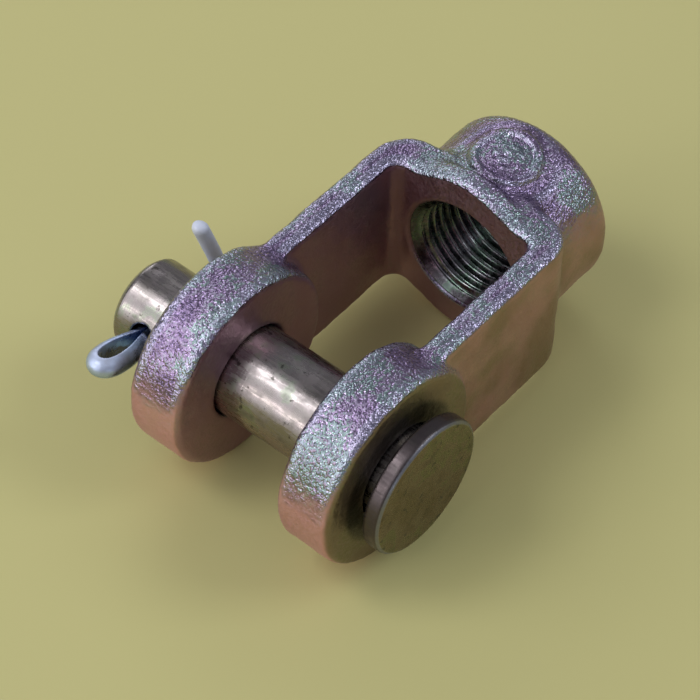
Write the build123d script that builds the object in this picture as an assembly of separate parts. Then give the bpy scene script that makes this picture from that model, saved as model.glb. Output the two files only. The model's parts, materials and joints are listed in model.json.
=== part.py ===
from build123d import *
import math
import os

os.makedirs("parts", exist_ok=True)

# Frame: X runs along the yoke from the pin towards the threaded socket,
# Y along the pin from its head to its split pin, Z up. The origin is on
# the pin's axis, midway between the two ears.

# yoke
ear_radius = 13.8
ear_inner_y = 8.0
ear_outer_y = 16.0
ear_rim_round = 1.1
pin_hole_radius = 6.6
pin_hole_chamfer = 0.35
arm_inner_y = 11.0
arm_outer_y = 14.6
half_height = 11.0
edge_round = 1.1
web_inner_x = 32.0
web_outer_x = 37.4
outer_corner_radius = 5.5
inner_corner_radius = 2.0
socket_radius = 12.5
socket_end_x = 48.6
socket_end_round = 3.0
valley_radius = 4.0
web_rim_radius = 10.7
web_rim_z = 2.9
web_rim_back_x = 35.2
web_rim_round = 1.0

# 5/8-18 UNF thread, bored to its major diameter
thread_major_radius = 15.875 / 2
thread_mouth_radius = 8.95
thread_back_radius = 8.6

# raised ring on top of the socket
ring_x = 40.4
ring_outer_radius = 5.0
ring_inner_radius = 3.5
ring_height = 0.4
ring_cut_height = 8.0

# clevis pin, 1/2 inch
pin_radius = 12.7 / 2
pin_head_radius = 9.55
pin_head_face_y = -20.45
pin_head_back_y = -18.05
pin_head_bevel = 0.4
pin_tip_y = 26.05
pin_tip_chamfer = 0.7

# split pin, 1/8 inch, through a cross hole near the pin's tip
cross_hole_radius = 1.8
cross_hole_rise = 0.35
cross_hole_y = 20.8
cross_hole_deg = 13.0
wire_radius = 1.42
wire_bar_length = 10.6
eye_roll_deg = 5.0

# split pin centre lines in mm, first value out of the hole, second to the side
eye_side = [(4.6, 0.05), (6.6, 0.25), (9.4, 0.95), (11.8, 1.15), (13.4, 0.85), (14.0, 0.0)]
leg_up = [
    (4.6, 0.05), (6.6, 0.05), (8.3, 0.9), (8.9, 2.6), (8.4, 4.6),
    (7.3, 6.8), (5.9, 9.1), (4.5, 11.4), (2.2, 15.1),
]
leg_down = [
    (4.6, -0.05), (6.5, -0.05), (8.2, -0.9), (8.8, -2.6),
    (8.1, -4.6), (6.7, -6.6), (4.9, -8.2), (2.8, -9.4),
]

# cutters run this far past the surface they cut
overrun = 1.0


def flat_disc(radius, y_from, y_to):
    """Cylinder along Y between two heights."""
    return Pos(0, (y_from + y_to) / 2, 0) * Rot(90, 0, 0) * Cylinder(radius, abs(y_to - y_from))


def bar_x(radius, x_from, x_to):
    """Cylinder along X between two stations."""
    return Pos((x_from + x_to) / 2, 0, 0) * Rot(0, 90, 0) * Cylinder(radius, x_to - x_from)


# cross-section of the web: a flat bar with the socket's round swelling through it
section = Rectangle(2 * arm_outer_y, 2 * half_height) + Circle(socket_radius)
valleys = [v for v in section.vertices() if abs(abs(v.Y) - half_height) < 1e-3 and abs(v.X) < 10]
section = fillet(valleys, valley_radius)
slab = extrude(Plane.YZ * section, web_outer_x)

# U outline seen from above
outline = Pos(web_outer_x / 2, 0) * Rectangle(web_outer_x, 2 * arm_outer_y)
outline = fillet(outline.vertices().filter_by(lambda v: v.X > 1), outer_corner_radius)
opening = Pos((web_inner_x - overrun) / 2, 0) * Rectangle(web_inner_x + overrun, 2 * arm_inner_y)
opening = fillet(opening.vertices().filter_by(lambda v: v.X > 1), inner_corner_radius)
fork = slab & extrude(outline - opening, socket_radius + overrun, both=True)

# long edges above and below, rounded as forged
long_edges = []
for edge in fork.edges():
    box = edge.bounding_box()
    level = min(abs(edge.position_at(t).Z) for t in (0, 0.5, 1))
    seam = box.size.Y < 0.01 and box.min.X > web_inner_x - 0.01
    if level > half_height - 1e-3 and box.max.X > 0.01 and not seam:
        long_edges.append(edge)
fork = fillet(long_edges, edge_round)

# socket behind the web, its far rim rounded over
socket = bar_x(socket_radius, (web_inner_x + web_outer_x) / 2, socket_end_x)
socket = fillet(socket.edges().filter_by(GeomType.CIRCLE).sort_by(Axis.X)[-1], socket_end_round)
yoke = fork + socket

# arched rim along the web's inner edge, above and below
for side in (-1, 1):
    rim = bar_x(web_rim_radius, web_inner_x, web_rim_back_x)
    rim = fillet(rim.edges().filter_by(GeomType.CIRCLE), web_rim_round)
    yoke = yoke + Pos(0, 0, side * web_rim_z) * rim

# round ears, standing proud of the arms inside and out
for side in (-1, 1):
    ear = flat_disc(ear_radius, side * ear_inner_y, side * ear_outer_y)
    yoke = yoke + fillet(ear.edges().filter_by(GeomType.CIRCLE), ear_rim_round)

# raised ring on the socket's top, following its curve
ring = Cylinder(ring_outer_radius, ring_cut_height) - Cylinder(ring_inner_radius, ring_cut_height)
ring_skin = bar_x(socket_radius + ring_height, web_inner_x, socket_end_x)
yoke = yoke + (Pos(ring_x, 0, socket_radius) * ring & ring_skin)

# threaded bore with a countersink at each mouth
yoke = yoke - bar_x(thread_major_radius, web_inner_x - overrun, socket_end_x + overrun)
mouth = thread_mouth_radius - thread_major_radius
mouth_cone = Rot(0, 90, 0) * Cone(thread_mouth_radius, thread_major_radius, mouth)
yoke = yoke - Pos(web_inner_x + mouth / 2, 0, 0) * mouth_cone
back = thread_back_radius - thread_major_radius
back_cone = Rot(0, 90, 0) * Cone(thread_major_radius, thread_back_radius, back)
yoke = yoke - Pos(socket_end_x - back / 2, 0, 0) * back_cone

# pin holes through the ears
yoke = yoke - flat_disc(pin_hole_radius, -ear_outer_y - overrun, ear_outer_y + overrun)
hole_cone = Cone(pin_hole_radius + pin_hole_chamfer, pin_hole_radius, pin_hole_chamfer)
for side in (-1, 1):
    for y, turn in ((side * ear_inner_y, side), (side * ear_outer_y, -side)):
        yoke = yoke - Pos(0, y + turn * pin_hole_chamfer / 2, 0) * Rot(-90 * turn, 0, 0) * hole_cone

# clevis pin
shank = flat_disc(pin_radius, (pin_head_face_y + pin_head_back_y) / 2, pin_tip_y)
shank = chamfer(shank.edges().filter_by(GeomType.CIRCLE).sort_by(Axis.Y)[-1], pin_tip_chamfer)
head = flat_disc(pin_head_radius, pin_head_face_y, pin_head_back_y)
head = chamfer(head.edges().filter_by(GeomType.CIRCLE), pin_head_bevel)
clevis_pin = shank + head

# directions of the cross hole: out towards the eye, and across it in the XZ plane
angle = math.radians(cross_hole_deg)
out = Vector(-math.cos(angle), 0, math.sin(angle))
across = Vector(math.sin(angle), 0, math.cos(angle))
hole_plane = Plane(origin=(0, cross_hole_y, 0), x_dir=(0, 1, 0), z_dir=out)
cross_hole = Cylinder(cross_hole_radius, 2 * (pin_radius + overrun))
clevis_pin = clevis_pin - Pos(across * cross_hole_rise) * (hole_plane * cross_hole)

# split pin: local x points out of the hole at the eye's end
roll = math.radians(eye_roll_deg)
wide = across * math.cos(roll) + Vector(0, 1, 0) * math.sin(roll)
eye_plane = Plane(origin=(0, cross_hole_y, 0), x_dir=out, z_dir=wide)
leg_plane = Plane(origin=(0, cross_hole_y, 0), x_dir=-out, z_dir=(0, -1, 0))


def half_round(plane):
    """Half-round wire section, its flat on the plane's x axis and its round side up y."""
    disc = Circle(wire_radius) & (Pos(0, wire_radius) * Rectangle(4 * wire_radius, 2 * wire_radius))
    return plane * disc


# both legs lie together in the hole
cotter_pin = hole_plane * Cylinder(wire_radius, wire_bar_length)

# eye: an open loop, the wire's flat side inside
eye_points = eye_side + [(x, -y) for x, y in reversed(eye_side[:-1])]
eye_path = eye_plane * Spline(eye_points, tangents=[(1, 0), (-1, 0)])
eye_start = Plane(origin=eye_path @ 0, x_dir=-wide, z_dir=out)
cotter_pin = cotter_pin + sweep(half_round(eye_start), path=eye_path)

# legs bent apart beyond the hole: one up past the ear, one under the pin
for points, side in ((leg_up, 1), (leg_down, -1)):
    before, tip = points[-2:]
    tip_direction = (tip[0] - before[0], tip[1] - before[1])
    leg_path = leg_plane * Spline(points, tangents=[(1, 0), tip_direction])
    leg_start = Plane(origin=leg_path @ 0, x_dir=(0, side, 0), z_dir=-out)
    cotter_pin = cotter_pin + sweep(half_round(leg_start), path=leg_path)

parts = {"yoke": yoke, "clevis_pin": clevis_pin, "cotter_pin": cotter_pin}
for name, shape in parts.items():
    print(name, len(shape.solids()), shape.is_valid, round(shape.volume, 1))
    shape.label = name
    export_step(shape, f"parts/{name}.step")
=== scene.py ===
import bmesh
import bpy
import json
import math
import numpy as np
from mathutils import Matrix, Vector

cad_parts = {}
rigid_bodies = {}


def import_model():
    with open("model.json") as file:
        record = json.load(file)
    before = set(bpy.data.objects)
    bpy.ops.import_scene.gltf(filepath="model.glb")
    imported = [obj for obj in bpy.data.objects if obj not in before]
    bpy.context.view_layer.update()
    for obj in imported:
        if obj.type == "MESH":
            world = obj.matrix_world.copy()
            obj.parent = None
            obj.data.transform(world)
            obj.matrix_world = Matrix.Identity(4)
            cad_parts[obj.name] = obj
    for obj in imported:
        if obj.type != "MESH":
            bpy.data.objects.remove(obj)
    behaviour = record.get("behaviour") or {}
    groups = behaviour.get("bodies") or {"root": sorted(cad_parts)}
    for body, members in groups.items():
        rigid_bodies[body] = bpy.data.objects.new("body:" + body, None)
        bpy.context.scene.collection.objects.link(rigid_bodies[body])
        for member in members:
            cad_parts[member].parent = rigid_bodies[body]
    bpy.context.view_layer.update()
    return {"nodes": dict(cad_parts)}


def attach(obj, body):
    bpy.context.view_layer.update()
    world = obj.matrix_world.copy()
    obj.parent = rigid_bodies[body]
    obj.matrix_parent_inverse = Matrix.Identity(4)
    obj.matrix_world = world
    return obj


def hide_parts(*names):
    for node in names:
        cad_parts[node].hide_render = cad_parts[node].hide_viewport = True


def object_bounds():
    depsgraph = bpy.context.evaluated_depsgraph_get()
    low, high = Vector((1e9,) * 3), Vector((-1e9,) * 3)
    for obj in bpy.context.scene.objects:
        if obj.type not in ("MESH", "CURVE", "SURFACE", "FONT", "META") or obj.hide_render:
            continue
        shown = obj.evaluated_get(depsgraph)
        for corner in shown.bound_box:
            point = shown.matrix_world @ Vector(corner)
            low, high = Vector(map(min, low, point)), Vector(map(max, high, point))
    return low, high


for leftover in list(bpy.data.objects):     # the start-up scene's own cube, lamp and camera
    bpy.data.objects.remove(leftover)
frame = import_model()
print("frame loaded")

mm = 0.001


def roundJoin(a, b, radius):
    # union of two distance fields with a concave fillet: inside the fillet band the
    # distance is the radius less the length of the two remaining depths
    u = np.maximum(radius - a, 0)
    v = np.maximum(radius - b, 0)
    return np.maximum(radius, np.minimum(a, b)) - np.hypot(u, v)


def roundMeet(a, b, radius):
    # overlap of two distance fields with a convex rounding: outside the rounding's centre
    # the distance is the length of the two heights over it, less the radius
    u = np.maximum(radius + a, 0)
    v = np.maximum(radius + b, 0)
    return np.minimum(-radius, np.maximum(a, b)) + np.hypot(u, v)


def ease(t):
    # smooth step from 0 to 1: three squares less two cubes
    t = np.clip(t, 0, 1)
    return t * t * (3 - 2 * t)


def waves(points, wavelength, count, seed, shortest=0.75, longest=1.5):
    # random smooth height: the sum of many sine waves with random directions, lengths and
    # phases, divided by the root of half their number
    rng = np.random.default_rng(seed)
    direction = rng.normal(size=(count, 3))
    direction /= np.linalg.norm(direction, axis=1)[:, None]
    length = wavelength * rng.uniform(shortest, longest, count)
    phase = rng.uniform(0, 2 * math.pi, count)
    turns = points @ (direction / length[:, None]).T * 2 * math.pi + phase
    return np.sin(turns).sum(axis=1) / math.sqrt(count / 2)


def gradient(field, points, step=0.02):
    # central differences of a field, one axis at a time
    out = np.empty_like(points)
    for axis in range(3):
        shift = np.zeros(3)
        shift[axis] = step
        out[:, axis] = (field(points + shift) - field(points - shift)) / (2 * step)
    return out


def crowding(field, points, normal, reach):
    # 1 where the field's solid stands right in front of the surface, 0 where it is free for the reach
    return 1.0 - np.clip(field(points + normal * reach) / reach, 0, 1)


def thinness(field, points, normal, depth):
    # 0 where the solid behind the surface is at least that deep every way, nearer 1 at an edge
    return np.clip(1.0 + field(points - normal * depth) / depth, 0, 1)


skinning = {
    # weld distance in mm; share of the way to the neighbours' mean; slides after it; the least
    # squared slope a slide divides by; its longest step in cells; how often fine cells are halved
    "weld": 0.002, "pull": 0.5, "slides": 2, "leastSquare": 0.2, "longestStep": 0.5, "fineTurns": 2,
}


def readPoints(mesh):
    points = np.empty(len(mesh.vertices) * 3)
    mesh.vertices.foreach_get("co", points)
    return points.reshape(-1, 3)


def writePoints(mesh, points):
    mesh.vertices.foreach_set("co", (points * mm).ravel())
    mesh.update()


def writeMark(mesh, name, values):
    mark = mesh.attributes.new(name, "FLOAT", "POINT")
    mark.data.foreach_set("value", values.astype(np.float32))


def smoothShade(made):
    made.data.polygons.foreach_set("use_smooth", np.ones(len(made.data.polygons), dtype=bool))
    made.data.update()


def refine(mesh, inside):
    # each edge between two chosen vertices is cut in half, and its faces with it
    rows = bmesh.new()
    rows.from_mesh(mesh)
    chosen = [edge for edge in rows.edges if inside[edge.verts[0].index] and inside[edge.verts[1].index]]
    bmesh.ops.subdivide_edges(rows, edges=chosen, cuts=1, use_grid_fill=True)
    rows.to_mesh(mesh)
    rows.free()


def slideOnto(field, points, cell):
    # every point moves down the field's gradient by the field's value over the squared slope, and
    # no further than its longest step
    for turn in range(skinning["slides"]):
        slope = gradient(field, points)
        squared = np.maximum((slope ** 2).sum(axis=1), skinning["leastSquare"])
        step = slope * (field(points) / squared)[:, None]
        reach = np.maximum(np.linalg.norm(step, axis=1), 1e-9)
        points = points - step * np.minimum(1, skinning["longestStep"] * cell / reach)[:, None]
    return points


def evenCells(node, name, cell):
    # closed copy of a solid's mesh, remade in small even cells, as a new object
    mesh = frame["nodes"][node].data.copy()
    skin = bpy.data.objects.new(name, mesh)
    bpy.context.scene.collection.objects.link(skin)
    weld = skin.modifiers.new("weld", "WELD")
    weld.merge_threshold = skinning["weld"] * mm
    remesh = skin.modifiers.new("cells", "REMESH")
    remesh.mode = "VOXEL"
    remesh.voxel_size = cell * mm
    bpy.context.view_layer.update()
    graph = bpy.context.evaluated_depsgraph_get()
    finished = bpy.data.meshes.new_from_object(skin.evaluated_get(graph))
    skin.modifiers.clear()
    skin.data = finished
    bpy.data.meshes.remove(mesh)
    finished.name = name
    return skin


def skinFromField(name, node, field, cell, rounds, finePlace=None):
    # closed skin of a solid: each round pulls every vertex towards the mean of its neighbours,
    # then slides it down the field's gradient to where the field is zero; the cells of a fine
    # place are halved again and again. Returns the outward normals too
    skin = evenCells(node, name, cell)
    points = readPoints(skin.data) / mm
    edges = np.empty(len(skin.data.edges) * 2, dtype=np.int64)
    skin.data.edges.foreach_get("vertices", edges)
    edges = edges.reshape(-1, 2)
    ends = np.concatenate([edges[:, 0], edges[:, 1]])
    others = np.concatenate([edges[:, 1], edges[:, 0]])
    neighbours = np.bincount(ends, minlength=len(points))[:, None]
    for turn in range(rounds):
        if turn < rounds - 1:   # the last round only slides
            mean = np.stack([np.bincount(ends, points[others, k], len(points)) for k in range(3)], axis=1)
            points = points + skinning["pull"] * (mean / neighbours - points)
        points = slideOnto(field, points, cell)
    if finePlace:
        for turn in range(skinning["fineTurns"]):
            writePoints(skin.data, points)
            refine(skin.data, finePlace(points))
            points = slideOnto(field, readPoints(skin.data) / mm, cell)
    slope = gradient(field, points)
    normal = slope / np.maximum(np.linalg.norm(slope, axis=1), 1e-6)[:, None]
    return skin, points, normal


def gridMesh(name, grid, closeRows, closeColumns):
    # quads over a (rows, columns, 3) array of points in mm, wrapped round where asked; rows that
    # are not wrapped end in a cap
    rows, columns = grid.shape[:2]
    index = np.arange(rows * columns).reshape(rows, columns)
    here, down = (index, np.roll(index, -1, axis=0)) if closeRows else (index[:-1], index[1:])
    if closeColumns:
        quads = np.stack([here, np.roll(here, -1, axis=1), np.roll(down, -1, axis=1), down], axis=-1)
    else:
        quads = np.stack([here[:, :-1], here[:, 1:], down[:, 1:], down[:, :-1]], axis=-1)
    faces = quads.reshape(-1, 4).tolist()
    if not closeRows:
        faces += [index[0][::-1].tolist(), index[-1].tolist()]
    mesh = bpy.data.meshes.new(name)
    mesh.from_pydata((grid.reshape(-1, 3) * mm).tolist(), [], faces)
    mesh.update()
    made = bpy.data.objects.new(name, mesh)
    bpy.context.scene.collection.objects.link(made)
    return made


pin = {
    "radius": 6.35, "tipY": 26.05, "tipBevel": 0.75, "tipBevelRound": 0.2, "tipEdgeRound": 0.12,
    "headRadius": 9.55, "headFaceY": -20.45, "headBackY": -18.05, "headBackRound": 0.35,
    "headBevel": 0.45, "headBevelRound": 0.15, "headEdgeRound": 0.1, "headOverlap": 0.5, "neck": 0.5,
    "holeRadius": 1.8, "holeRise": 0.35, "holeY": 20.8, "holeDeg": 13.0, "holeRound": 0.2,
    "cell": 0.24, "rounds": 4,
    "dentHeight": 0.002, "dentLength": 3.0, "dentWaves": 30, "dentSeed": 8, "dentDeepest": 0.03,
    "plainMargin": 0.3, "crowdReach": 1.2,
}
holeTilt = math.radians(pin["holeDeg"])
holeOut = np.array([-math.cos(holeTilt), 0.0, math.sin(holeTilt)])
holeAcross = np.array([math.sin(holeTilt), 0.0, math.cos(holeTilt)])


def pinField(points):
    # signed distance to the pin: bevelled shank and head, and a round hole across the tip
    x, y, z = points.T
    fromPin = np.hypot(x, z)
    tipBevel = (fromPin - pin["radius"] + y - pin["tipY"] + pin["tipBevel"]) * math.sqrt(0.5)
    shank = roundMeet(fromPin - pin["radius"], y - pin["tipY"], pin["tipEdgeRound"])
    shank = roundMeet(shank, tipBevel, pin["tipBevelRound"])
    shank = np.maximum(shank, pin["headFaceY"] + pin["headOverlap"] - y)
    faceBevel = (fromPin - pin["headRadius"] + pin["headFaceY"] - y + pin["headBevel"]) * math.sqrt(0.5)
    head = roundMeet(fromPin - pin["headRadius"], pin["headFaceY"] - y, pin["headEdgeRound"])
    head = roundMeet(head, y - pin["headBackY"], pin["headBackRound"])
    head = roundMeet(head, faceBevel, pin["headBevelRound"])
    whole = roundJoin(shank, head, pin["neck"])
    rows = points - np.array([0.0, pin["holeY"], 0.0]) - holeAcross * pin["holeRise"]
    along = rows @ holeOut
    fromHole = np.sqrt(np.maximum((rows ** 2).sum(axis=1) - along ** 2, 0))
    return roundMeet(whole, pin["holeRadius"] - fromHole, pin["holeRound"])


def buildPin():
    # the pin's skin, sunk along its normals where the random height is below zero
    skin, points, normal = skinFromField("clevisPinSkin", "clevis_pin", pinField, pin["cell"], pin["rounds"])
    height = pin["dentHeight"] * waves(points, pin["dentLength"], pin["dentWaves"], pin["dentSeed"])
    fromHole = np.hypot(points[:, 1] - pin["holeY"], points @ holeAcross)
    inHole = fromHole < pin["holeRadius"] + pin["plainMargin"]
    points = points + normal * (np.clip(height, -pin["dentDeepest"], 0.0) * ~inHole)[:, None]
    writePoints(skin.data, points)
    # painted shade: a mark of where the pin's own solid stands close in front of its surface, which darkens
    # its colour
    writeMark(skin.data, "shadeMark", crowding(pinField, points, normal, pin["crowdReach"]))
    smoothShade(skin)
    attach(skin, "pin")
    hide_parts("clevis_pin")
    return skin


pinSkin = buildPin()
print("pin skin", len(pinSkin.data.polygons))

yoke = {
    "earRadius": 13.8, "earInnerY": 8.0, "earOuterY": 16.0, "earRimRound": 1.0,
    "holeRadius": 6.6, "holeRound": 0.35,
    "armInnerY": 11.0, "armOuterY": 14.6, "halfHeight": 11.0, "edgeRound": 1.05,
    "webInnerX": 32.0, "webOuterX": 37.4, "outerCorner": 5.5, "innerCorner": 2.0,
    "socketRadius": 12.5, "socketEndX": 48.6, "socketEndRound": 3.0,
    "rimRadius": 10.7, "rimZ": 2.9, "rimBackX": 35.2, "rimRound": 1.0, "rimValley": 0.8,
    "valley": 1.2, "earSeam": 1.1,
    "boreRadius": 8.3, "mouthRadius": 8.95, "backRadius": 8.6, "boreRound": 0.12, "boreOverlap": 1.0,
    "cell": 0.36, "rounds": 4,
    "grainHeight": 0.014, "grainLength": 0.8, "grainWaves": 60, "grainSeed": 3,
    "waveHeight": 0.03, "waveLength": 4.0, "waveCount": 30, "waveSeed": 4,
    "deepest": 0.12, "highest": 0.1,
    # where the surface is cut, not cast: round the bore beyond one x, round the pin holes up to another
    "boreMargin": 0.3, "boreFromX": 30.0, "holeMargin": 0.8, "holeToX": 12.0,
    "crowdReach": 1.6, "headReach": 1.5, "faceMargin": 1.0, "thinDepth": 1.6,
}

ring = {
    "x": 40.4, "lipRadius": 4.25, "lipHalfWidth": 0.85, "lipSlope": 0.6, "lipHeight": 0.45,
    "grooveRadius": 5.9, "grooveHalfWidth": 1.1, "grooveDepth": 0.18,
    "padRadius": 2.5, "padSlope": 1.0, "padHeight": 0.2,
    "padBumps": 0.1, "padBumpLength": 1.4, "padWaves": 12, "padSeed": 21,
    "fineRadius": 6.4, "lowestZ": 9.5,
}


def ringRise(x, y):
    # height over the socket's round: a flat-topped lip with eased slopes, a shallow groove outside it
    # that is a squared cosine across, and a low bumpy pad in the middle with an eased slope
    away = np.hypot(x - ring["x"], y)
    lip = ease((ring["lipHalfWidth"] - np.abs(away - ring["lipRadius"])) / ring["lipSlope"])
    offGroove = np.clip((away - ring["grooveRadius"]) / ring["grooveHalfWidth"], -1, 1)
    groove = np.cos(offGroove * math.pi / 2) ** 2
    pad = ease((ring["padRadius"] - away) / ring["padSlope"])
    flat = np.stack([x, y, 0 * x], axis=1)
    bumps = ring["padBumps"] * waves(flat, ring["padBumpLength"], ring["padWaves"], ring["padSeed"])
    return ring["lipHeight"] * lip - ring["grooveDepth"] * groove + (ring["padHeight"] + bumps) * pad


def onRing(points):
    # the ring's own patch on top of the socket, which gets finer cells
    near = np.hypot(points[:, 0] - ring["x"], points[:, 1]) < ring["fineRadius"]
    return near & (points[:, 2] > ring["lowestZ"])


def yokeField(points):
    # signed distance to the yoke in mm: flat bar, round socket and the web's arched rim joined with
    # soft valleys, the U opening taken out, round ears joined on, then the pin holes and the bore
    # taken out
    x, y, z = points.T
    across, height = np.abs(y), np.abs(z)
    fromAxis = np.hypot(y, z)
    fromPin = np.hypot(x, z)
    outer = roundMeet(x - yoke["webOuterX"], across - yoke["armOuterY"], yoke["outerCorner"])
    bar = roundMeet(height - yoke["halfHeight"], outer, yoke["edgeRound"])
    rise = np.where(z > 0, ringRise(x, y), 0)
    socket = roundMeet(fromAxis - yoke["socketRadius"] - rise, x - yoke["socketEndX"], yoke["socketEndRound"])
    body = roundJoin(bar, socket, yoke["valley"])
    rim = roundMeet(np.hypot(y, height - yoke["rimZ"]) - yoke["rimRadius"], x - yoke["rimBackX"],
                    yoke["rimRound"])
    body = roundJoin(body, rim, yoke["rimValley"])
    opening = roundMeet(x - yoke["webInnerX"], across - yoke["armInnerY"], yoke["innerCorner"])
    fork = roundMeet(body, -opening, yoke["edgeRound"])
    fork = np.maximum(fork, -x)
    disc = np.maximum(yoke["earInnerY"] - across, across - yoke["earOuterY"])
    ears = roundMeet(fromPin - yoke["earRadius"], disc, yoke["earRimRound"])
    whole = roundJoin(fork, ears, yoke["earSeam"])
    whole = roundMeet(whole, yoke["holeRadius"] - fromPin, yoke["holeRound"])
    mouth = (fromAxis + x - yoke["webInnerX"] - yoke["mouthRadius"]) * math.sqrt(0.5)
    back = (fromAxis - x + yoke["socketEndX"] - yoke["backRadius"]) * math.sqrt(0.5)
    bore = np.minimum(fromAxis - yoke["boreRadius"], np.minimum(mouth, back))
    bore = np.maximum(bore, yoke["webInnerX"] - yoke["boreOverlap"] - x)
    return roundMeet(whole, -bore, yoke["boreRound"])


def buildYoke():
    # the yoke's skin with the casting's grain and waves: two random heights along the normals
    skin, points, normal = skinFromField("yokeSkin", "yoke", yokeField, yoke["cell"], yoke["rounds"], onRing)
    x, y, z = points.T
    inBore = (x > yoke["boreFromX"]) & (np.hypot(y, z) < yoke["mouthRadius"] + yoke["boreMargin"])
    inHole = (np.hypot(x, z) < yoke["holeRadius"] + yoke["holeMargin"]) & (x < yoke["holeToX"])
    cast = np.where(inBore | inHole, 0.0, 1.0)
    # painted shade: a mark of where the yoke's own solid stands close in front of the surface, and of the
    # near ear's face under the pin head, which darkens the colour towards near-black
    shadeMark = crowding(yokeField, points, normal, yoke["crowdReach"])
    behindHead = crowding(pinField, points, normal, yoke["headReach"])
    shadeMark = np.maximum(shadeMark, behindHead * (y < -yoke["earOuterY"] + yoke["faceMargin"]))
    edge = thinness(yokeField, points, normal, yoke["thinDepth"])
    height = yoke["grainHeight"] * waves(points, yoke["grainLength"], yoke["grainWaves"], yoke["grainSeed"])
    height = height + yoke["waveHeight"] * waves(points, yoke["waveLength"], yoke["waveCount"],
                                                 yoke["waveSeed"])
    points = points + normal * (np.clip(height, -yoke["deepest"], yoke["highest"]) * cast)[:, None]
    writePoints(skin.data, points)
    writeMark(skin.data, "cast", cast)
    writeMark(skin.data, "shadeMark", shadeMark)
    writeMark(skin.data, "edge", edge)
    smoothShade(skin)
    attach(skin, "yoke")
    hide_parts("yoke")
    return skin


yokeSkin = buildYoke()
print("yoke skin", len(yokeSkin.data.polygons))

thread = {
    "pitch": 25.4 / 18, "major": 7.94, "minor": 7.18,
    "crestHalf": 0.176, "flank": 0.441, "soften": 0.04, "softShare": 0.35,
    "start": 32.35, "end": 48.25, "wall": 9.2, "wallInset": 0.7,
    "rows": 176, "columns": 168, "proud": 0.02,
}


def buildThread():
    # bore lining: the radius over angle and station is a sixty degree V thread wound right-handed,
    # opened out by the two countersinks; the wall behind it is a plain tube inside the metal
    station = np.linspace(thread["start"], thread["end"], thread["rows"])[:, None]
    angle = np.linspace(0, 2 * math.pi, thread["columns"], endpoint=False)[None, :]
    phase = (station / thread["pitch"] - angle / (2 * math.pi)) % 1.0
    away = np.abs(phase - 0.5) * thread["pitch"] - thread["crestHalf"]
    rounded = ease((away + thread["soften"]) / (thread["flank"] + 2 * thread["soften"]))
    straight = np.clip(away / thread["flank"], 0, 1)
    depth = thread["softShare"] * rounded + (1 - thread["softShare"]) * straight
    radius = thread["minor"] + (thread["major"] - thread["minor"]) * depth
    mouth = yoke["mouthRadius"] - (station - yoke["webInnerX"])
    back = yoke["backRadius"] + (station - yoke["socketEndX"])
    radius = np.maximum(radius, np.maximum(mouth, back)) - thread["proud"]
    station = station + 0 * angle
    inner = np.stack([station, radius * np.cos(angle), radius * np.sin(angle)], axis=-1)
    wall = np.full((2, thread["columns"]), thread["wall"])
    ends = np.array([thread["end"] - thread["wallInset"], thread["start"] + thread["wallInset"]])
    outer = np.stack([ends[:, None] + 0 * angle, wall * np.cos(angle), wall * np.sin(angle)], axis=-1)
    lining = gridMesh("threadLining", np.concatenate([inner, outer]), True, True)
    smoothShade(lining)
    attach(lining, "yoke")
    return lining


threadLining = buildThread()
print("thread", len(threadLining.data.polygons))

cotter = {
    "wire": 1.42, "flatGap": 0.03, "corner": 0.02, "middleShare": 0.42,
    "samples": 620, "columns": 40, "rawSamples": 1600, "smoothTurns": 26, "smoothShare": 0.5,
    "tipLength": 1.1, "tipFloor": 0.003,
    # the wire's flat turns over this far each side of the pin's axis, and the legs twist beyond it
    "rollDeg": 5.0, "turnReach": 4.0, "twistDeg": 8.0, "twistFrom": 6.0, "twistOver": 3.0,
    # the upper leg was squeezed rounder between two heights: narrower, thinner, its flat pushed out
    "legRoundFrom": 4.0, "legRoundTo": 9.0, "legWidth": 0.82, "legThin": 0.12, "legBack": 0.56,
    "inHole": [(-2.3, 0.0), (0.0, 0.0), (2.3, 0.0)],
    # out of the hole, then to the side, in mm: the eye is one open loop
    "eye": [(4.6, 0.05), (6.6, 0.25), (9.4, 0.95), (11.8, 1.15), (13.4, 0.85), (14.0, 0.0)],
    # each leg beyond the hole: distance out, then distance up
    "legUp": [(4.6, 0.0), (6.6, 0.05), (8.3, 0.9), (8.9, 2.6), (8.3, 4.7), (6.9, 7.0), (5.3, 9.4),
              (3.9, 11.6), (1.9, 14.6)],
    "legDown": [(4.6, 0.0), (6.5, -0.05), (8.2, -0.9), (8.8, -2.6), (8.1, -4.6), (6.7, -6.6),
                (4.9, -8.2), (2.8, -9.4)],
}
cotterMiddle = np.array([0.0, pin["holeY"], 0.0])
yAxis = np.array([0.0, 1.0, 0.0])


def throughPoints(points, count):
    # smooth curve through the points: a cubic between each pair, its end slopes half the chord
    # between the neighbours, sampled evenly in the number of pairs
    before = np.concatenate([2 * points[:1] - points[1:2], points[:-1]])
    after = np.concatenate([points[1:], 2 * points[-1:] - points[-2:-1]])
    slope = (after - before) / 2
    where = np.linspace(0, len(points) - 1, count)
    first = np.minimum(where.astype(int), len(points) - 2)
    t = (where - first)[:, None]
    p, q, m, n = points[first], points[first + 1], slope[first], slope[first + 1]
    return ((2 * t ** 3 - 3 * t ** 2 + 1) * p + (t ** 3 - 2 * t ** 2 + t) * m
            + (3 * t ** 2 - 2 * t ** 3) * q + (t ** 3 - t ** 2) * n)


def evenly(path, count):
    # the same path with its samples at equal lengths
    length = np.concatenate([[0], np.cumsum(np.linalg.norm(np.diff(path, axis=0), axis=1))])
    wanted = np.linspace(0, length[-1], count)
    return np.stack([np.interp(wanted, length, path[:, k]) for k in range(3)], axis=1)


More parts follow.
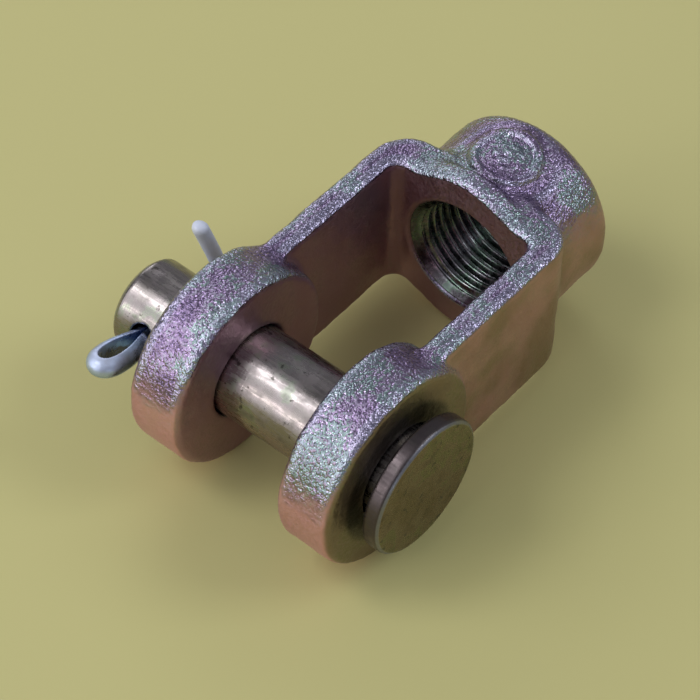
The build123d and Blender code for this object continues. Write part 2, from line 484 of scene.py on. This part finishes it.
def cotterPath(wide):
    # the wire's one path: upper leg from its tip, hole, eye, hole, lower leg to its tip
    side = np.cross(holeOut, wide)
    eye = cotter["inHole"] + cotter["eye"] + [(u, -v) for u, v in reversed(cotter["eye"][:-1])]
    eye = np.array([cotterMiddle + holeOut * u + side * v for u, v in eye + cotter["inHole"][::-1]])
    up, down = (np.array([cotterMiddle - holeOut * u + holeAcross * v for u, v in cotter[leg]])
                for leg in ("legUp", "legDown"))
    path = throughPoints(np.concatenate([up[::-1], eye, down]), cotter["rawSamples"])
    path = evenly(path, cotter["samples"])
    for turn in range(cotter["smoothTurns"]):
        path[1:-1] += cotter["smoothShare"] * ((path[:-2] + path[2:]) / 2 - path[1:-1])
    return path


def cotterFrame(path, wide):
    # along the wire, the direction of its flat and the direction of its round back: the flat lies
    # along the pin at the legs and turns square to it at the eye, and the legs' ends are twisted
    tangent = np.gradient(path, axis=0)
    tangent /= np.linalg.norm(tangent, axis=1)[:, None]
    alongHole = (path - cotterMiddle) @ holeOut
    turned = math.pi / 2 * ease((alongHole + cotter["turnReach"]) / (2 * cotter["turnReach"]))[:, None]
    width = -yAxis * np.cos(turned) + wide * np.sin(turned)
    width -= tangent * (width * tangent).sum(axis=1)[:, None]
    width /= np.linalg.norm(width, axis=1)[:, None]
    bulge = np.cross(tangent, width)
    beyond = ease((-alongHole - cotter["twistFrom"]) / cotter["twistOver"])
    twist = math.radians(cotter["twistDeg"]) * beyond[:, None]
    return (width * np.cos(twist) + bulge * np.sin(twist), bulge * np.cos(twist) - width * np.sin(twist))


def buildCotter():
    # half-round wire carried along its path: the section is a half disc with softened corners, and
    # it shrinks to a dome, the root of one less the squared distance, at each tip
    roll = math.radians(cotter["rollDeg"])
    wide = holeAcross * math.cos(roll) + yAxis * math.sin(roll)
    path = cotterPath(wide)
    width, bulge = cotterFrame(path, wide)
    total = np.linalg.norm(np.diff(path, axis=0), axis=1).sum()
    length = np.linspace(0, 1, cotter["samples"]) * total
    fromTip = np.minimum(length, length[::-1])
    short = (1 - fromTip / cotter["tipLength"]).clip(0, 1)
    dome = np.sqrt(np.clip(1 - short ** 2, cotter["tipFloor"], 1))[:, None, None]
    angle = np.linspace(0, 2 * math.pi, cotter["columns"], endpoint=False)
    flatWays = cotter["wire"] * np.cos(angle)
    roundWays = cotter["wire"] * (np.sin(angle) + np.sqrt(np.sin(angle) ** 2 + cotter["corner"])) / 2
    roundWays *= cotter["wire"] / roundWays.max()
    middle = cotter["middleShare"] * cotter["wire"]
    above = (path - cotterMiddle) @ holeAcross
    onLeg = ease((above - cotter["legRoundFrom"]) / (cotter["legRoundTo"] - cotter["legRoundFrom"]))
    across = flatWays[None, :] * (1 - (1 - cotter["legWidth"]) * onLeg)[:, None]
    back = np.maximum(-np.sin(angle), 0)[None, :] * (cotter["legBack"] * cotter["wire"] * onLeg)[:, None]
    deep = roundWays[None, :] * (1 - cotter["legThin"] * onLeg)[:, None] - back - middle
    section = across[:, :, None] * width[:, None, :] + deep[:, :, None] * bulge[:, None, :]
    grid = (path + bulge * (cotter["flatGap"] + middle))[:, None, :] + section * dome
    wire = gridMesh("cotterWire", grid, False, True)
    smoothShade(wire)
    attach(wire, "pin")
    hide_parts("cotter_pin")
    return wire


cotterWire = buildCotter()
print("split pin", len(cotterWire.data.polygons))

view = {
    "azimuth": -51.508, "elevation": 49.889, "roll": 1.934,
    "focal": 2988.7, "width": 700, "distance": 369.99, "originPixel": (298.749, 403.122),
    "sensor": 36, "nearest": 0.01, "farthest": 20,
}


def buildCamera():
    # the camera stands back along its view, moved sideways and upwards so that the frame's origin
    # falls on the named pixel
    a, e, r = (math.radians(view[k]) for k in ("azimuth", "elevation", "roll"))
    back = np.array([math.sin(a) * math.cos(e), -math.cos(a) * math.cos(e), math.sin(e)])
    right = np.array([math.cos(a), math.sin(a), 0.0])
    up = np.cross(back, right)
    right, up = math.cos(r) * right + math.sin(r) * up, -math.sin(r) * right + math.cos(r) * up
    middle = view["width"] / 2
    sideways = (view["originPixel"][0] - middle) / view["focal"] * view["distance"]
    upwards = -(view["originPixel"][1] - middle) / view["focal"] * view["distance"]
    place = -(right * sideways + up * upwards - back * view["distance"]) * mm
    camera = bpy.data.cameras.new("camera")
    camera.sensor_width = view["sensor"]
    camera.lens = view["focal"] / view["width"] * view["sensor"]
    camera.clip_start = view["nearest"]
    camera.clip_end = view["farthest"]
    holder = bpy.data.objects.new("camera", camera)
    rows = [[*row, at] for row, at in zip(np.stack([right, up, back], axis=1), place)]
    holder.matrix_world = Matrix(rows + [[0, 0, 0, 1]])
    bpy.context.scene.collection.objects.link(holder)
    bpy.context.scene.camera = holder


buildCamera()
print("camera")

stage = {
    "floorColour": (0.545, 0.51, 0.225), "floorRough": 0.85, "floorSize": 3.0,
    "worldColour": (0.88, 0.90, 0.96), "worldStrength": 0.32,
    # each lamp: which way it stands, how far off and how wide in metres, watts, colour
    "lamps": {
        "window": ((-0.78, 0.42, 0.45), 1.0, 1.2, 6.0, (1.0, 0.99, 0.98)),
        "key": ((-0.353, 0.400, 0.845), 0.75, 0.26, 1.1, (1.0, 1.0, 1.0)),
        "strip": ((-0.854, 0.400, 0.332), 0.75, 0.16, 0.36, (1.0, 0.93, 0.90)),
        "fill": ((0.45, -0.55, 0.70), 0.9, 0.34, 1.7, (0.95, 1.0, 1.0)),
        "back": ((0.50, 0.73, 0.46), 0.75, 0.3, 0.8, (0.97, 0.98, 1.0)),
        "rim": ((-0.414, -0.897, 0.15), 0.75, 0.16, 0.16, (0.85, 0.92, 1.0)),
    },
}


def areaLight(name, towards, distance, size, power, colour):
    # square lamp that looks at the origin
    lamp = bpy.data.lights.new(name, "AREA")
    lamp.size = size
    lamp.energy = power
    lamp.color = colour
    holder = bpy.data.objects.new(name, lamp)
    place = Vector(towards).normalized() * distance
    holder.location = place
    holder.rotation_euler = place.to_track_quat("Z", "Y").to_euler()
    bpy.context.scene.collection.objects.link(holder)


def buildStage():
    # paper floor under the lowest point, the lamps, and a pale room
    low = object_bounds()[0].z
    half = stage["floorSize"] / 2
    mesh = bpy.data.meshes.new("floor")
    mesh.from_pydata([(-half, -half, low), (half, -half, low), (half, half, low), (-half, half, low)], [],
                     [(0, 1, 2, 3)])
    floor = bpy.data.objects.new("floor", mesh)
    bpy.context.scene.collection.objects.link(floor)
    paper = bpy.data.materials.new("paper")
    paper.use_nodes = True
    shader = paper.node_tree.nodes["Principled BSDF"]
    shader.inputs["Base Color"].default_value = (*stage["floorColour"], 1)
    shader.inputs["Roughness"].default_value = stage["floorRough"]
    mesh.materials.append(paper)
    for name, lamp in stage["lamps"].items():
        areaLight(name, *lamp)
    world = bpy.data.worlds.new("room")
    world.use_nodes = True
    sky = world.node_tree.nodes["Background"]
    sky.inputs["Color"].default_value = (*stage["worldColour"], 1)
    sky.inputs["Strength"].default_value = stage["worldStrength"]
    bpy.context.scene.world = world
    bpy.context.scene.view_settings.view_transform = "Standard"


buildStage()
print("stage")


class Wiring:
    # short calls for placing and joining nodes in one tree
    def __init__(self, tree):
        self.tree = tree

    def feed(self, socket, value):
        # a socket takes a link from another node, a colour of three numbers, or a plain value
        if isinstance(value, bpy.types.NodeSocket):
            self.tree.links.new(value, socket)
        elif socket.type == "RGBA":
            socket.default_value = (*value, 1)
        else:
            socket.default_value = value

    def put(self, kind, sockets=None, **settings):
        made = self.tree.nodes.new("ShaderNode" + kind)
        for key, value in settings.items():
            setattr(made, key, value)
        for key, value in (sockets or {}).items():
            self.feed(made.inputs[key], value)
        return made

    def use(self, group, **sockets):
        # place a shared node group with this material's own values
        return self.put("Group", sockets, node_tree=group)

    def calc(self, operation, *values):
        return self.put("Math", dict(enumerate(values)), operation=operation).outputs[0]

    def product(self, first, second):
        return self.calc("MULTIPLY", first, second)

    def fit(self, value, band, toLow=0.0, toHigh=1.0):
        # eased from one value to another while the input crosses the band
        return self.put("MapRange", {"Value": value, "From Min": band[0], "From Max": band[1],
                                     "To Min": toLow, "To Max": toHigh},
                        interpolation_type="SMOOTHSTEP").outputs[0]

    def mix(self, share, first, second):
        made = self.put("Mix", data_type="RGBA")
        for socket, value in zip((made.inputs[0], made.inputs[6], made.inputs[7]), (share, first, second)):
            self.feed(socket, value)
        return made.outputs[2]

    def ramp(self, value, stops):
        made = self.put("ValToRGB", {"Fac": value})
        band = made.color_ramp
        while len(band.elements) < len(stops):
            band.elements.new(0.5)
        for element, (at, colour) in zip(band.elements, stops):
            element.position = at
            element.color = (*colour, 1)
        return made.outputs["Color"]

    def noise(self, where, perMm, detail=2.0, rough=0.5):
        return self.put("TexNoise", {"Vector": where, "Scale": perMm, "Detail": detail,
                                     "Roughness": rough}).outputs["Fac"]

    def bump(self, height, distance):
        return self.put("Bump", {"Height": height, "Distance": distance}).outputs[0]

    def split(self, vector):
        return self.put("SeparateXYZ", {0: vector}).outputs

    def facing(self):
        # the surface's direction in the object's own frame
        return self.split(self.put("TexCoord").outputs["Normal"])

    def mark(self, name):
        return self.put("Attribute", attribute_name=name).outputs["Fac"]


def openGroup(name, inputs, outputs):
    # node group with its sockets, returned with its wiring, its inputs and its end node's sockets
    group = bpy.data.node_groups.new(name, "ShaderNodeTree")
    for label, kind, value in inputs:
        socket = group.interface.new_socket(label, in_out="INPUT", socket_type=kind)
        if value is not None:
            socket.default_value = value
    for label, kind in outputs:
        group.interface.new_socket(label, in_out="OUTPUT", socket_type=kind)
    ins, outs = group.nodes.new("NodeGroupInput"), group.nodes.new("NodeGroupOutput")
    return group, Wiring(group), ins.outputs, outs.inputs


bloom = {
    # thin-film colours of the plating, from the thinnest film to the thickest
    "stops": [(0.0, (0.17, 0.14, 0.26)), (0.22, (0.31, 0.23, 0.40)), (0.42, (0.42, 0.36, 0.52)),
              (0.56, (0.40, 0.41, 0.51)), (0.70, (0.24, 0.48, 0.34)), (0.85, (0.24, 0.34, 0.40)),
              (1.0, (0.40, 0.34, 0.42))],
    "fineDetail": (2.0, 0.6), "fineBand": (0.3, 0.7), "fineShare": 0.5,
    "patchDetail": (2.0, 0.5), "patchBand": (0.32, 0.68), "patchShare": 0.66, "shift": -0.14,
}


def buildBloomGroup():
    # speckled plating colour: the film's thickness is a share of fine grains, a share of broad
    # patches and a shift, and the ramp gives each thickness its colour
    group, wiring, ins, outs = openGroup(
        "platingBloom",
        [("Where", "NodeSocketVector", None), ("Grain", "NodeSocketFloat", 2.0),
         ("Patch", "NodeSocketFloat", 0.16), ("Shift", "NodeSocketFloat", 0.0)],
        [("Film", "NodeSocketColor"), ("Speck", "NodeSocketFloat")])
    fine = wiring.fit(wiring.noise(ins["Where"], ins["Grain"], *bloom["fineDetail"]), bloom["fineBand"])
    broad = wiring.fit(wiring.noise(ins["Where"], ins["Patch"], *bloom["patchDetail"]), bloom["patchBand"])
    thickness = wiring.calc("ADD", wiring.product(fine, bloom["fineShare"]),
                            wiring.product(broad, bloom["patchShare"]))
    thickness = wiring.calc("ADD", wiring.calc("ADD", thickness, ins["Shift"]), bloom["shift"])
    wiring.feed(outs["Film"], wiring.ramp(thickness, bloom["stops"]))
    wiring.feed(outs["Speck"], fine)
    return group


grain = {"lumpDetail": (1.0, 0.5), "foldDetail": (0.0, 0.5), "foldFiner": 1.3, "creaseShare": 0.7}


def buildGrainGroup():
    # blasted surface height: noise at two sizes, the finer one folded at its middle into sharp creases
    group, wiring, ins, outs = openGroup(
        "blastGrain", [("Where", "NodeSocketVector", None), ("Size", "NodeSocketFloat", 2.0)],
        [("Height", "NodeSocketFloat")])
    lumps = wiring.noise(ins["Where"], ins["Size"], *grain["lumpDetail"])
    fold = wiring.noise(ins["Where"], wiring.product(ins["Size"], grain["foldFiner"]), *grain["foldDetail"])
    crease = wiring.calc("ABSOLUTE", wiring.calc("SUBTRACT", fold, 0.5))
    wiring.feed(outs["Height"], wiring.calc("ADD", lumps, wiring.product(crease, grain["creaseShare"])))
    return group


bloomGroup = buildBloomGroup()
grainGroup = buildGrainGroup()


def startMetal(name):
    # metal material, its wiring, its shader's sockets, and the place on the object in mm
    metal = bpy.data.materials.new(name)
    metal.use_nodes = True
    wiring = Wiring(metal.node_tree)
    shader = metal.node_tree.nodes["Principled BSDF"].inputs
    shader["Metallic"].default_value = 1.0
    place = wiring.put("TexCoord").outputs["Object"]
    where = wiring.put("VectorMath", {0: place, "Scale": 1 / mm}, operation="SCALE").outputs[0]
    return metal, wiring, shader, where


yokeFinish = {
    # the colours by facing are painted reflection and shade: lilac on top for the sky, rose, brown and the
    # ears' outer face colour for the floor, maroon for the fork's shaded inside; the near-black is painted
    # shade and the pale blue a painted highlight
    "lilac": (0.265, 0.19, 0.325), "rose": (0.75, 0.41, 0.49), "brown": (0.335, 0.222, 0.155),
    "maroon": (0.44, 0.26, 0.31), "earFace": (0.25, 0.19, 0.115),
    "paintedShade": (0.03, 0.028, 0.03), "edgeHighlight": (0.48, 0.53, 0.66), "black": (0.0, 0.0, 0.0),
    "grainPerMm": 2.3, "patchPerMm": 0.14, "driftPerMm": 0.1,
    # the upward surfaces are blasted and take the lilac top colour, a painted reflection of the sky, from one
    # lift of the normal to another; the sides of the socket, the arms and the ears lose that sooner
    "topBand": (0.05, 0.42), "fadeBand": (6.5, 9.0), "fade": 0.3,
    "sidewaysBand": (0.35, 0.8), "outsideBand": (15.5, 15.9),
    "insideBand": (11.6, 11.1), "webBand": (33.0, 32.4), "earBand": (20.0, 25.0),
    "driftBand": (0.4, 0.65), "driftShare": 0.4, "sideFilm": 0.12, "topFilm": 0.62, "topDull": 0.13,
    "edgeHighlightBand": (0.0, 0.14), "edgeHighlightShare": 0.3, "paintedShadeBand": (0.2, 0.85), "paintedShadeShare": 0.92,
    "bumpHeight": 0.0002, "sideBump": 0.2, "cutBump": 0.12,
    "roughTop": 0.26, "roughSide": 0.42, "roughSpeck": 0.07,
}


def buildYokeFinish():
    # plated casting with painted reflection by facing: lilac film on top for the sky, rose and brown sides
    # and olive outer ear faces for the floor, maroon for the fork's shaded inside; painted shade in the
    # corners and behind the pin head, and a painted highlight along thin edges
    look = yokeFinish
    metal, wiring, shader, where = startMetal("yokePlating")
    film = wiring.use(bloomGroup, Where=where, Grain=look["grainPerMm"], Patch=look["patchPerMm"]).outputs
    spot, facing = wiring.split(where), wiring.facing()
    fromMiddle = wiring.calc("ABSOLUTE", spot["Y"])
    across = wiring.calc("ABSOLUTE", facing["Y"])
    fade = wiring.product(across, wiring.fit(fromMiddle, look["fadeBand"], 0.0, look["fade"]))
    up = wiring.fit(wiring.calc("SUBTRACT", facing["Z"], fade), look["topBand"])
    sideways = wiring.fit(across, look["sidewaysBand"])
    drift = wiring.fit(wiring.noise(where, look["driftPerMm"]), look["driftBand"], 0.0, look["driftShare"])
    # painted reflection: sideways and lower surfaces take rose and brown from the floor, the fork's inside
    # maroon as its shade, the ears' outer faces olive, the tops the lilac film
    side = wiring.mix(sideways, look["rose"], wiring.mix(drift, look["brown"], look["rose"]))
    inside = wiring.product(wiring.fit(fromMiddle, look["insideBand"]),
                            wiring.fit(spot["X"], look["webBand"]))
    offRim = wiring.calc("MAXIMUM", sideways, wiring.fit(spot["X"], look["earBand"]))
    side = wiring.mix(wiring.product(inside, offRim), side, look["maroon"])
    outside = wiring.fit(fromMiddle, look["outsideBand"])
    side = wiring.mix(wiring.product(sideways, outside), side, look["earFace"])
    side = wiring.mix(look["sideFilm"], side, film["Film"])
    top = wiring.mix(look["topFilm"], look["lilac"], film["Film"])
    top = wiring.mix(look["topDull"], top, look["black"])
    # painted highlight: where the solid behind the surface is thin, at the edges, the top colour is lightened
    # towards a pale blue
    top = wiring.mix(wiring.fit(wiring.mark("edge"), look["edgeHighlightBand"], 0.0, look["edgeHighlightShare"]), top,
                     look["edgeHighlight"])
    # painted shade: the colour is darkened towards near-black in crevices and behind the pin head
    paintedShade = wiring.fit(wiring.mark("shadeMark"), look["paintedShadeBand"], 0.0, look["paintedShadeShare"])
    wiring.feed(shader["Base Color"], wiring.mix(paintedShade, wiring.mix(up, side, top), look["paintedShade"]))
    rough = wiring.fit(up, (0.0, 1.0), look["roughSide"], look["roughTop"])
    speck = wiring.fit(film["Speck"], (0.0, 1.0), -look["roughSpeck"], look["roughSpeck"])
    wiring.feed(shader["Roughness"], wiring.calc("ADD", rough, speck))
    strength = wiring.product(wiring.fit(up, (0.0, 1.0), look["sideBump"], 1.0),
                              wiring.fit(wiring.mark("cast"), (0.0, 1.0), look["cutBump"], 1.0))
    height = wiring.use(grainGroup, Where=where, Size=look["grainPerMm"]).outputs["Height"]
    wiring.feed(shader["Normal"], wiring.bump(wiring.product(height, strength), look["bumpHeight"]))
    return metal


threadFinish = {
    "steel": (0.24, 0.28, 0.235), "oilAndShade": (0.02, 0.02, 0.02),
    "film": 0.4, "grainPerMm": 0.9, "patchPerMm": 0.25, "shift": 0.08,
    # the bore darkens with depth as painted shade, the cone at its mouth is darkened by half, and oil stains
    # lie all over
    "deepBand": (34.0, 46.0), "deepShare": 0.85, "coneBand": (33.4, 32.9), "coneShare": 0.5,
    "stain": (0.35, 3.0, 0.6), "stainBand": (0.45, 0.7), "stainShare": 0.6,
    "roughPerMm": 1.2, "roughBand": (0.3, 0.7), "roughLow": 0.16, "roughHigh": 0.34,
    "bump": (3.0, 3.0), "bumpHeight": 0.00002,
}


def buildThreadFinish():
    # oily cut thread: steel under a thin film, darkened with depth as painted shade, darker at the mouth's
    # cone, and stained with oil
    look = threadFinish
    metal, wiring, shader, where = startMetal("threadPlating")
    film = wiring.use(bloomGroup, Where=where, Grain=look["grainPerMm"], Patch=look["patchPerMm"],
                      Shift=look["shift"]).outputs["Film"]
    colour = wiring.mix(look["film"], look["steel"], film)
    station = wiring.split(where)["X"]
    # painted shade: the colour darkens towards the bore's depth
    colour = wiring.mix(wiring.fit(station, look["deepBand"], 0.0, look["deepShare"]), colour, look["oilAndShade"])
    colour = wiring.mix(wiring.fit(station, look["coneBand"], 0.0, look["coneShare"]), colour, look["oilAndShade"])
    stain = wiring.fit(wiring.noise(where, *look["stain"]), look["stainBand"], 0.0, look["stainShare"])
    wiring.feed(shader["Base Color"], wiring.mix(stain, colour, look["oilAndShade"]))
    wiring.feed(shader["Roughness"], wiring.fit(wiring.noise(where, look["roughPerMm"]), look["roughBand"],
                                                look["roughLow"], look["roughHigh"]))
    wiring.feed(shader["Normal"], wiring.bump(wiring.noise(where, *look["bump"]), look["bumpHeight"]))
    return metal


pinFinish = {
    "steel": (0.25, 0.23, 0.205), "rose": (0.32, 0.24, 0.22), "olive": (0.165, 0.12, 0.045),
    "scuffAndShade": (0.05, 0.045, 0.04), "bevelHighlight": (0.50, 0.54, 0.66), "wall": (0.075, 0.06, 0.065),
    "film": 0.14, "grainPerMm": 0.55, "patchPerMm": 0.12, "shift": -0.03,
    "lowBand": (0.25, -0.35), "faceBand": (0.8, 0.97),
    "smudge": (0.3, 4.0, 0.65), "smudgeBand": (0.5, 0.72), "smudgeShare": 0.45,
    "nick": (0.8, 3.0, 0.6), "nickBand": (0.63, 0.7), "nickShare": 0.8,
    "wallBand": (-17.5, -18.0), "wallShare": 0.9, "wallRough": 0.12,
    "bevelBand": (0.45, 0.65), "bevelEndBand": (0.96, 0.86), "bevelShare": 0.3, "bevelRough": 0.3,
    "shadeBand": (0.3, 1.0), "shadeShare": 0.85,
    "roughPatch": (0.6, 3.0), "roughBand": (0.3, 0.7), "roughLow": 0.24, "roughHigh": 0.34,
    "streakScale": (2.4, 0.3, 2.4), "streakDetail": 3.0, "streakBand": (0.35, 0.65),
    "streakRough": 0.07, "turnedScale": (0.25, 3.5, 0.25), "turnedHeight": 0.000012,
}


def buildPinFinish():
    # turned pin: steel above, rose below and olive end faces as painted reflection of the floor, a painted
    # highlight on the head's bevel, painted shade in its crevices, smudges, nicks and lengthwise streaks
    look = pinFinish
    metal, wiring, shader, where = startMetal("pinPlating")
    film = wiring.use(bloomGroup, Where=where, Grain=look["grainPerMm"], Patch=look["patchPerMm"],
                      Shift=look["shift"]).outputs["Film"]
    facing = wiring.facing()
    tilt = wiring.calc("ABSOLUTE", facing["Y"])
    faces = wiring.fit(tilt, look["faceBand"])
    # painted reflection: the lower side turns rose and the end faces olive, as the floor's reflection
    colour = wiring.mix(wiring.fit(facing["Z"], look["lowBand"]), look["steel"], look["rose"])
    colour = wiring.mix(faces, colour, look["olive"])
    colour = wiring.mix(look["film"], colour, film)
    smudge = wiring.fit(wiring.noise(where, *look["smudge"]), look["smudgeBand"], 0.0, look["smudgeShare"])
    colour = wiring.mix(smudge, colour, look["scuffAndShade"])
    nick = wiring.fit(wiring.noise(where, *look["nick"]), look["nickBand"], 0.0, look["nickShare"])
    colour = wiring.mix(nick, colour, look["scuffAndShade"])
    onWall = wiring.product(wiring.fit(wiring.split(where)["Y"], look["wallBand"]),
                            wiring.calc("SUBTRACT", 1.0, faces))
    colour = wiring.mix(wiring.product(onWall, look["wallShare"]), colour, look["wall"])
    # painted highlight: the head's bevel is lightened towards a pale blue
    bevel = wiring.product(wiring.fit(tilt, look["bevelBand"], 0.0, look["bevelShare"]),
                           wiring.fit(tilt, look["bevelEndBand"]))
    colour = wiring.mix(bevel, colour, look["bevelHighlight"])
    # painted shade: the colour darkens where the pin's own solid crowds its surface; the same dark colour
    # also serves the real smudges and nicks
    shadeMark = wiring.fit(wiring.mark("shadeMark"), look["shadeBand"], 0.0, look["shadeShare"])
    wiring.feed(shader["Base Color"], wiring.mix(shadeMark, colour, look["scuffAndShade"]))
    streaks = wiring.put("Mapping", {"Vector": where, "Scale": look["streakScale"]}).outputs[0]
    rough = wiring.fit(wiring.noise(where, *look["roughPatch"]), look["roughBand"], look["roughLow"],
                       look["roughHigh"])
    streak = wiring.fit(wiring.noise(streaks, 1.0, look["streakDetail"]), look["streakBand"],
                        -look["streakRough"], look["streakRough"])
    rough = wiring.calc("ADD", rough, streak)
    rough = wiring.calc("MAXIMUM", rough, wiring.product(bevel, look["bevelRough"]))
    rough = wiring.calc("ADD", rough, wiring.product(onWall, look["wallRough"]))
    wiring.feed(shader["Roughness"], rough)
    turned = wiring.put("Mapping", {"Vector": where, "Scale": look["turnedScale"]}).outputs[0]
    wiring.feed(shader["Normal"], wiring.bump(wiring.noise(turned, 1.0), look["turnedHeight"]))
    return metal


cotterFinish = {
    "zinc": (0.44, 0.60, 0.96), "shade": (0.22, 0.30, 0.52), "leg": (0.66, 0.69, 0.81),
    "smear": (0.5, 3.0, 0.6), "smearBand": (0.35, 0.68),
    "film": 0.12, "grainPerMm": 0.5, "patchPerMm": 0.2, "shift": -0.1,
    # the upper leg is duller, and painted paler as painted light, from one height to another
    "legBand": (2.0, 6.0), "legShare": 0.85, "legMetal": 0.25, "legRough": 0.43,
    "roughPatch": (0.8, 3.0), "roughBand": (0.3, 0.7), "roughLow": 0.14, "roughHigh": 0.32,
    "bump": (1.6, 3.0), "bumpHeight": 0.00003,
}


def buildCotterFinish():
    # blue zinc wire with a smeared shade, its upper leg dull and painted pale as painted light
    look = cotterFinish
    metal, wiring, shader, where = startMetal("cotterZinc")
    film = wiring.use(bloomGroup, Where=where, Grain=look["grainPerMm"], Patch=look["patchPerMm"],
                      Shift=look["shift"]).outputs["Film"]
    smear = wiring.fit(wiring.noise(where, *look["smear"]), look["smearBand"])
    colour = wiring.mix(look["film"], wiring.mix(smear, look["zinc"], look["shade"]), film)
    # painted light: the upper leg is made paler and less metallic to stand in for the light on it
    onLeg = wiring.fit(wiring.split(where)["Z"], look["legBand"])
    colour = wiring.mix(wiring.product(onLeg, look["legShare"]), colour, look["leg"])
    wiring.feed(shader["Base Color"], colour)
    wiring.feed(shader["Metallic"], wiring.fit(onLeg, (0.0, 1.0), 1.0, look["legMetal"]))
    rough = wiring.fit(wiring.noise(where, *look["roughPatch"]), look["roughBand"], look["roughLow"],
                       look["roughHigh"])
    wiring.feed(shader["Roughness"], wiring.calc("ADD", rough, wiring.product(onLeg, look["legRough"])))
    wiring.feed(shader["Normal"], wiring.bump(wiring.noise(where, *look["bump"]), look["bumpHeight"]))
    return metal


for piece, finish in ((yokeSkin, buildYokeFinish()), (threadLining, buildThreadFinish()),
                      (pinSkin, buildPinFinish()), (cotterWire, buildCotterFinish())):
    piece.data.materials.clear()
    piece.data.materials.append(finish)
print("finishes")
